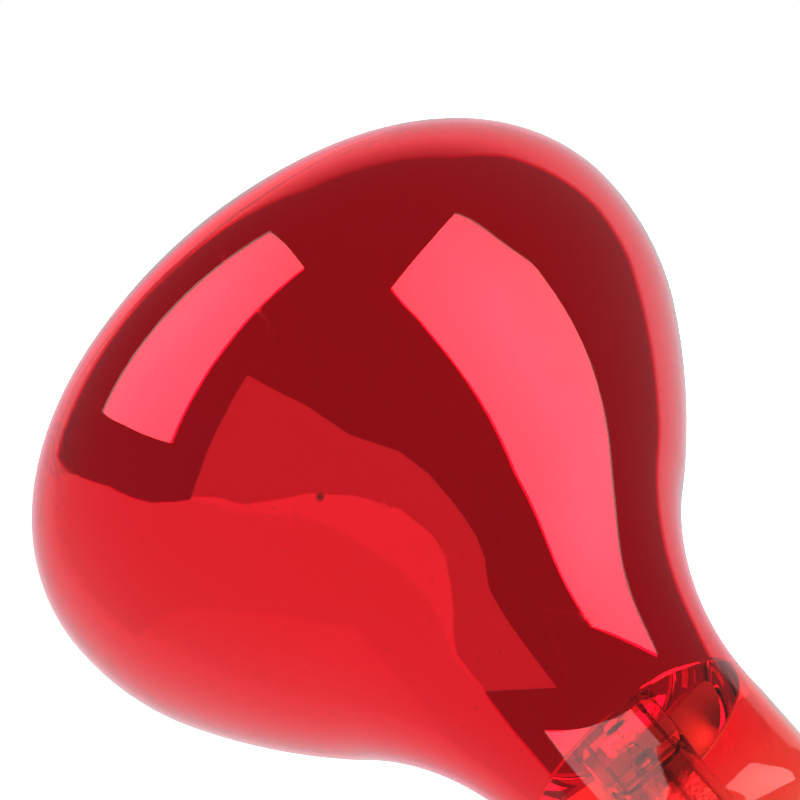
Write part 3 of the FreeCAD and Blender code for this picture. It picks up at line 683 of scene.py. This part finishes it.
# Each card of the studio is a strip between two edges, in metres.
SOFTBOXES = {
    "softbox_left": (((-0.343, -0.703, -1.057), (-0.402, -1.084, -0.334)),
                     ((0.747, -0.304, -0.759), (0.687, -0.685, -0.036))),
    "softbox_right": (((-0.568, -0.754, 0.203), (-0.567, -0.628, 0.484), (-0.569, -0.528, 0.594),
                       (-0.546, -0.404, 0.708), (-0.499, -0.304, 0.793), (-0.430, -0.120, 0.900)),
                      ((-0.858, -0.334, -0.100), (-0.923, -0.188, 0.150), (-0.904, 0.012, 0.311),
                       (-0.864, 0.141, 0.385), (-0.806, 0.239, 0.460), (-0.720, 0.360, 0.600))),
    "softbox_back": (((-0.18, 0.93, -0.62), (0.18, 0.93, -0.62)),
                     ((-0.18, 1.05, -0.30), (0.18, 1.05, -0.30))),
}
GREY_WALL = (((0.281, -1.177, 0.086), (0.147, -1.069, 0.584), (0.049, -0.953, 0.779),
              (-0.125, -0.832, 0.904), (-0.178, -0.718, 0.993), (-0.178, -0.592, 1.076),
              (-0.150, -0.400, 1.150)),
             ((0.967, -0.655, 0.332), (0.863, -0.653, 0.566), (0.772, -0.681, 0.664),
              (0.593, -0.708, 0.813), (0.496, -0.661, 0.916), (0.434, -0.537, 1.027),
              (0.380, -0.400, 1.100)))
TABLE_FOLD = (((0.880, -0.613, 0.301), (0.740, -0.643, 0.548), (0.449, -0.743, 0.725),
               (0.269, -0.727, 0.828), (0.121, -0.646, 0.929), (0.076, -0.532, 1.007)),
              ((0.950, -0.550, 0.370), (0.840, -0.560, 0.620), (0.650, -0.600, 0.800),
               (0.570, -0.560, 0.900), (0.510, -0.480, 0.990), (0.470, -0.400, 1.060)))
TABLE_EDGE = (((0.700, 0.197, -0.683), (0.843, -0.033, -0.564), (0.924, -0.188, -0.408),
               (0.949, -0.297, -0.289), (0.950, -0.452, 0.045), (0.847, -0.572, 0.298),
               (0.757, -0.570, 0.501), (0.543, -0.628, 0.690), (0.449, -0.584, 0.795),
               (0.359, -0.432, 0.933), (0.250, -0.250, 1.050)),
              ((0.900, 0.400, 0.050), (0.950, 0.280, 0.150), (0.980, 0.150, 0.250),
               (0.988, 0.052, 0.335), (0.931, -0.033, 0.491), (0.859, -0.094, 0.610),
               (0.793, -0.091, 0.698), (0.692, -0.119, 0.802), (0.641, -0.095, 0.851),
               (0.582, -0.018, 0.903), (0.500, 0.050, 1.000)))
# Brightness of the table's parts, as shares of the table's own.
FOLD_SHARE = 0.98
TABLE_SHARES = (0.96, 0.88)     # straight below, and at its edge
# The room by direction: cosines of the angle to the camera's up, back and right axes.
TABLE_FADE = (-0.95, -0.64)     # up, over which the table goes from one share to the other
TABLE_LINE = (-0.66, -0.64)     # up, where the table ends and the dark side begins
SIDE_FADE = (0.3, 0.6)          # right or left, where the white paper's limit changes
SIDE_DEPTHS = (0.32, 0.66)      # how far behind the lamp the paper starts: middle, sides
LEVEL_LINE = (-0.12, 0.04)      # up, where that start takes over from the one below
TABLE_DEPTH = 0.30              # how far behind the lamp the paper starts, below
PAPER_LINE = (-0.015, 0.015)    # softness of the line where the paper starts
PAPER_FADE = (-0.62, -0.35)     # back, from the paper's brightest part to its start
PAPER_LEVELS = (0.9, 0.5)       # brightness of those two
SWEEP_FADE = (-0.5, -0.1)       # up, over which the curved foot of the paper ends
SWEEP_LEVEL = 0.92              # brightness of that foot


def build_camera():
    """The camera, from its place and its own three axes."""
    data = bpy.data.cameras.new("studio_camera")
    data.lens = CAMERA_LENS
    data.sensor_width = 36.0
    data.clip_end = 100.0
    camera = bpy.data.objects.new("studio_camera", data)
    turn = Matrix((CAMERA_RIGHT, CAMERA_UP, CAMERA_BACK)).transposed().to_4x4()
    camera.matrix_world = Matrix.Translation(Vector(CAMERA_PLACE)) @ turn
    bpy.context.scene.collection.objects.link(camera)
    bpy.context.scene.camera = camera


def glow_material(name, strength, edge=False):
    """Plain white light, a little weaker towards the rim of a softbox."""
    material = bpy.data.materials.new(name)
    material.use_nodes = True
    tree = material.node_tree
    tree.nodes.clear()
    out = tree.nodes.new("ShaderNodeOutputMaterial")
    light = wired(tree, "ShaderNodeEmission", [("Strength", strength)])
    if edge:
        where = tree.nodes.new("ShaderNodeTexCoord").outputs["UV"]
        from_middle = distance_to(tree, where, (0.5, 0.5, 0.0))
        fade = ranged(tree, from_middle, (0.1, 0.7), strength * 1.08, strength * 0.8)
        tree.links.new(fade, light.inputs["Strength"])
    tree.links.new(light.outputs[0], out.inputs[0])
    return material


def smooth_edge(edge, curved, count=40):
    """A polynomial in the distance run along the points, or straight runs between them."""
    edge = np.array(edge, dtype=float)
    if not curved:
        return edge
    run = np.concatenate([[0.0], np.cumsum(np.linalg.norm(np.diff(edge, axis=0), axis=1))])
    run /= run[-1]
    t = np.linspace(0.0, 1.0, count)
    power = np.arange(min(len(edge), 6))
    terms = np.linalg.lstsq(run[:, None] ** power, edge, rcond=None)[0]
    return (t[:, None] ** power) @ terms


def stage_strip(name, edges, material, curved=False):
    """A studio surface ruled between two edges, with a UV map."""
    near, far = smooth_edge(edges[0], curved), smooth_edge(edges[1], curved)
    n = len(near)
    i = np.arange(n - 1)
    faces = np.stack([i, i + 1, n + i + 1, n + i], -1)
    mesh = bpy.data.meshes.new(name)
    mesh.from_pydata(np.concatenate([near, far]).tolist(), [], faces.tolist())
    across = np.concatenate([np.linspace(0, 1, n)] * 2)
    along_edge = np.repeat([0.0, 1.0], n)
    sheet = np.stack([across, along_edge], -1)[faces.reshape(-1)]
    mesh.uv_layers.new(name="sheet").data.foreach_set("uv", sheet.reshape(-1))
    mesh.materials.append(material)
    strip = bpy.data.objects.new(name, mesh)
    bpy.context.scene.collection.objects.link(strip)
    return strip


def build_floor():
    """A large pale floor under the lamp, seen by the camera and not by the glass."""
    half = FLOOR_HALF
    edges = (((-half, -half, FLOOR_LEVEL), (half, -half, FLOOR_LEVEL)),
             ((-half, half, FLOOR_LEVEL), (half, half, FLOOR_LEVEL)))
    floor = stage_strip("floor", edges, glow_material("pale_floor", 1.0))
    floor.visible_glossy = floor.visible_transmission = False
    floor.visible_diffuse = floor.visible_shadow = False


def build_cards():
    """Softboxes in front and behind, a grey wall and the edge of a white table."""
    studio = bpy.context.scene.lamp_studio
    cloth = glow_material("softbox_cloth", studio.softbox, True)
    cards = [stage_strip(name, edges, cloth, True) for name, edges in SOFTBOXES.items()]
    cards.append(stage_strip("grey_wall", GREY_WALL, glow_material("wall_paint", studio.room)))
    cards.append(stage_strip("table_fold", TABLE_FOLD,
                             glow_material("table_fold", studio.table * FOLD_SHARE)))
    cards.append(stage_strip("table_edge", TABLE_EDGE,
                             glow_material("table_cloth", studio.table * TABLE_SHARES[1])))
    for card in cards:
        card.visible_camera = False


def build_room():
    """Soft room light by direction: white behind and on the table, grey, then a dark side."""
    studio = bpy.context.scene.lamp_studio
    world = bpy.data.worlds.new("studio_room")
    world.use_nodes = True
    tree = world.node_tree
    tree.nodes.clear()
    out = tree.nodes.new("ShaderNodeOutputWorld")
    way = tree.nodes.new("ShaderNodeTexCoord").outputs["Generated"]
    up, back, across = [
        wired(tree, "ShaderNodeVectorMath", [(0, way), (1, axis)],
              operation="DOT_PRODUCT").outputs["Value"]
        for axis in (CAMERA_UP, CAMERA_BACK, CAMERA_RIGHT)]
    table = ranged(tree, up, TABLE_FADE, studio.table * TABLE_SHARES[0],
                   studio.table * TABLE_SHARES[1])
    lower = mixed_value(tree, ranged(tree, up, TABLE_LINE, 1.0, 0.0), studio.shade, table)
    aside = wired(tree, "ShaderNodeMath", [(0, across)], operation="ABSOLUTE").outputs[0]
    side = ranged(tree, aside, SIDE_FADE, *SIDE_DEPTHS)
    limit = mixed_value(tree, ranged(tree, up, LEVEL_LINE), TABLE_DEPTH, side)
    depth = wired(tree, "ShaderNodeMath", [(0, back), (1, limit)], operation="ADD").outputs[0]
    wall = ranged(tree, depth, PAPER_LINE, 1.0, 0.0)
    paper = ranged(tree, back, PAPER_FADE, *PAPER_LEVELS)
    sweep = ranged(tree, up, SWEEP_FADE, 1.0, 0.0)
    white = mixed_value(tree, sweep, paper, SWEEP_LEVEL)
    whole = mixed_value(tree, wall, lower, white)
    ray = tree.nodes.new("ShaderNodeLightPath")
    seen = mixed_value(tree, ray.outputs["Is Camera Ray"], whole, 1.0)
    light = wired(tree, "ShaderNodeBackground", [("Color", (1.0, 1.0, 1.0, 1.0)),
                  ("Strength", seen)])
    tree.links.new(light.outputs[0], out.inputs[0])
    bpy.context.scene.world = world
    bpy.context.scene.view_settings.view_transform = "Standard"


# ---- operators, one for each piece or group of like pieces ----

class BuildStudio(bpy.types.Operator):
    """Camera, pale floor, softboxes and room light"""
    bl_idname = "heat_lamp.build_studio"
    bl_label = "Studio"

    def execute(self, context):
        build_camera()
        build_floor()
        build_cards()
        build_room()
        return {"FINISHED"}


class BuildBulb(bpy.types.Operator):
    """Blown ruby glass bulb"""
    bl_idname = "heat_lamp.build_bulb"
    bl_label = "Glass bulb"

    def execute(self, context):
        build_bulb()
        dress(ruby_finish(), "glass_bulb")
        return {"FINISHED"}


class BuildFilm(bpy.types.Operator):
    """Mirror film inside the reflector"""
    bl_idname = "heat_lamp.build_film"
    bl_label = "Mirror film"

    def execute(self, context):
        build_film()
        dress(film_finish(), "mirror_film")
        return {"FINISHED"}


class BuildCoil(bpy.types.Operator):
    """Coiled tungsten filament and its wires"""
    bl_idname = "heat_lamp.build_coil"
    bl_label = "Filament and wires"

    def execute(self, context):
        build_coil()
        dress(metal_finish("tungsten", (0.22, 0.21, 0.21), (0.36, 0.35, 0.34), (0.3, 0.5),
                           900.0, 5000.0, 0.1), "tungsten_coil")
        dress(metal_finish("molybdenum", (0.42, 0.42, 0.43), (0.60, 0.60, 0.60), (0.25, 0.45),
                           600.0, 3000.0, 0.08), "filament_supports")
        dress(metal_finish("drawn_nickel", (0.56, 0.53, 0.48), (0.72, 0.69, 0.63), (0.18, 0.38),
                           400.0, 2600.0, 0.10, (1.0, 1.0, 0.12)),
              "filament_clamps", "inner_lead_left", "inner_lead_right")
        dress(metal_finish("seal_alloy", (0.46, 0.20, 0.13), (0.68, 0.34, 0.22), (0.2, 0.4),
                           500.0, 2600.0, 0.08), "seal_wires")
        return {"FINISHED"}


class FinishStem(bpy.types.Operator):
    """Clear glass stem, tubes and rod, with the heat deflector"""
    bl_idname = "heat_lamp.finish_stem"
    bl_label = "Stem and deflector"

    def execute(self, context):
        dress(clear_glass_finish(), "stem_tube", "exhaust_tube", "arbor_rod", "fuse_sleeve")
        dress(metal_finish("deflector_sheet", (0.80, 0.80, 0.80), (0.93, 0.93, 0.92), (0.42, 0.58),
                           120.0, 1600.0, 0.10), "heat_deflector")
        dress(dull_finish("ceramic_bead", (0.62, 0.59, 0.53), (0.78, 0.76, 0.70), (0.35, 0.55),
                          500.0, 3000.0, 0.2), "deflector_bushings")
        dress(metal_finish("collar_steel", (0.40, 0.40, 0.40), (0.56, 0.55, 0.54), (0.25, 0.42),
                           400.0, 2400.0, 0.1), "deflector_collar")
        return {"FINISHED"}


class FinishBaseWires(bpy.types.Operator):
    """Copper wires and fuse wire in the base"""
    bl_idname = "heat_lamp.finish_base_wires"
    bl_label = "Base wires"

    def execute(self, context):
        dress(metal_finish("copper_wire", (0.55, 0.22, 0.12), (0.80, 0.38, 0.24), (0.2, 0.42),
                           500.0, 2600.0, 0.08),
              "outer_lead_side", "outer_lead_fused", "contact_lead", "fuse_link")
        return {"FINISHED"}


class BuildBase(bpy.types.Operator):
    """Threaded shell, cement, insulator, contact and solder"""
    bl_idname = "heat_lamp.build_base"
    bl_label = "Screw base"

    def execute(self, context):
        build_shell()
        dress(shell_finish(), "threaded_shell")
        cement = tuple(tints().cement)
        dress(dull_finish("basing_cement", tuple(c * 0.6 for c in cement), cement, (0.75, 0.95),
                          260.0, 2200.0, 0.8), "basing_cement")
        dress(dull_finish("black_glass", (0.006, 0.006, 0.008), (0.020, 0.019, 0.022),
                          (0.06, 0.22), 220.0, 1400.0, 0.12, IOR=1.52), "base_insulator")
        dress(metal_finish("contact_brass", (0.55, 0.40, 0.16), (0.78, 0.60, 0.28), (0.2, 0.42),
                           300.0, 2000.0, 0.1), "contact_plate")
        dress(metal_finish("solder", (0.42, 0.42, 0.43), (0.64, 0.64, 0.65), (0.25, 0.5),
                           420.0, 1800.0, 0.35), "contact_solder", "rim_solder")
        return {"FINISHED"}


STEPS = (BuildStudio, BuildBulb, BuildFilm, BuildCoil, FinishStem, FinishBaseWires, BuildBase)


class LampPanel(bpy.types.Panel):
    """Lists the steps that build the lamp"""
    bl_idname = "VIEW3D_PT_heat_lamp"
    bl_label = "Heat lamp"
    bl_space_type = "VIEW_3D"
    bl_region_type = "UI"
    bl_category = "Heat lamp"

    def draw(self, context):
        for step in STEPS:
            self.layout.operator(step.bl_idname)
        for group in (context.scene.lamp_sizes, context.scene.lamp_colours,
                      context.scene.lamp_studio):
            box = self.layout.box()
            for key in group.__annotations__:
                box.prop(group, key)


GROUPS = {"lamp_sizes": LampSizes, "lamp_colours": LampColours, "lamp_studio": LampStudio}


def register():
    """Registers every class and hangs the sizes, colours and studio on the scene."""
    for item in (*GROUPS.values(), *STEPS, LampPanel):
        bpy.utils.register_class(item)
    for name, group in GROUPS.items():
        setattr(bpy.types.Scene, name, bpy.props.PointerProperty(type=group))


def unregister():
    """Takes back all that register did."""
    for name in GROUPS:
        delattr(bpy.types.Scene, name)
    for item in (LampPanel, *reversed(STEPS), *GROUPS.values()):
        bpy.utils.unregister_class(item)


def main():
    """Registers the add-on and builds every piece."""
    register()
    for step in STEPS:
        group, name = step.bl_idname.split(".")
        getattr(getattr(bpy.ops, group), name)()


if __name__ == "__main__":
    main()
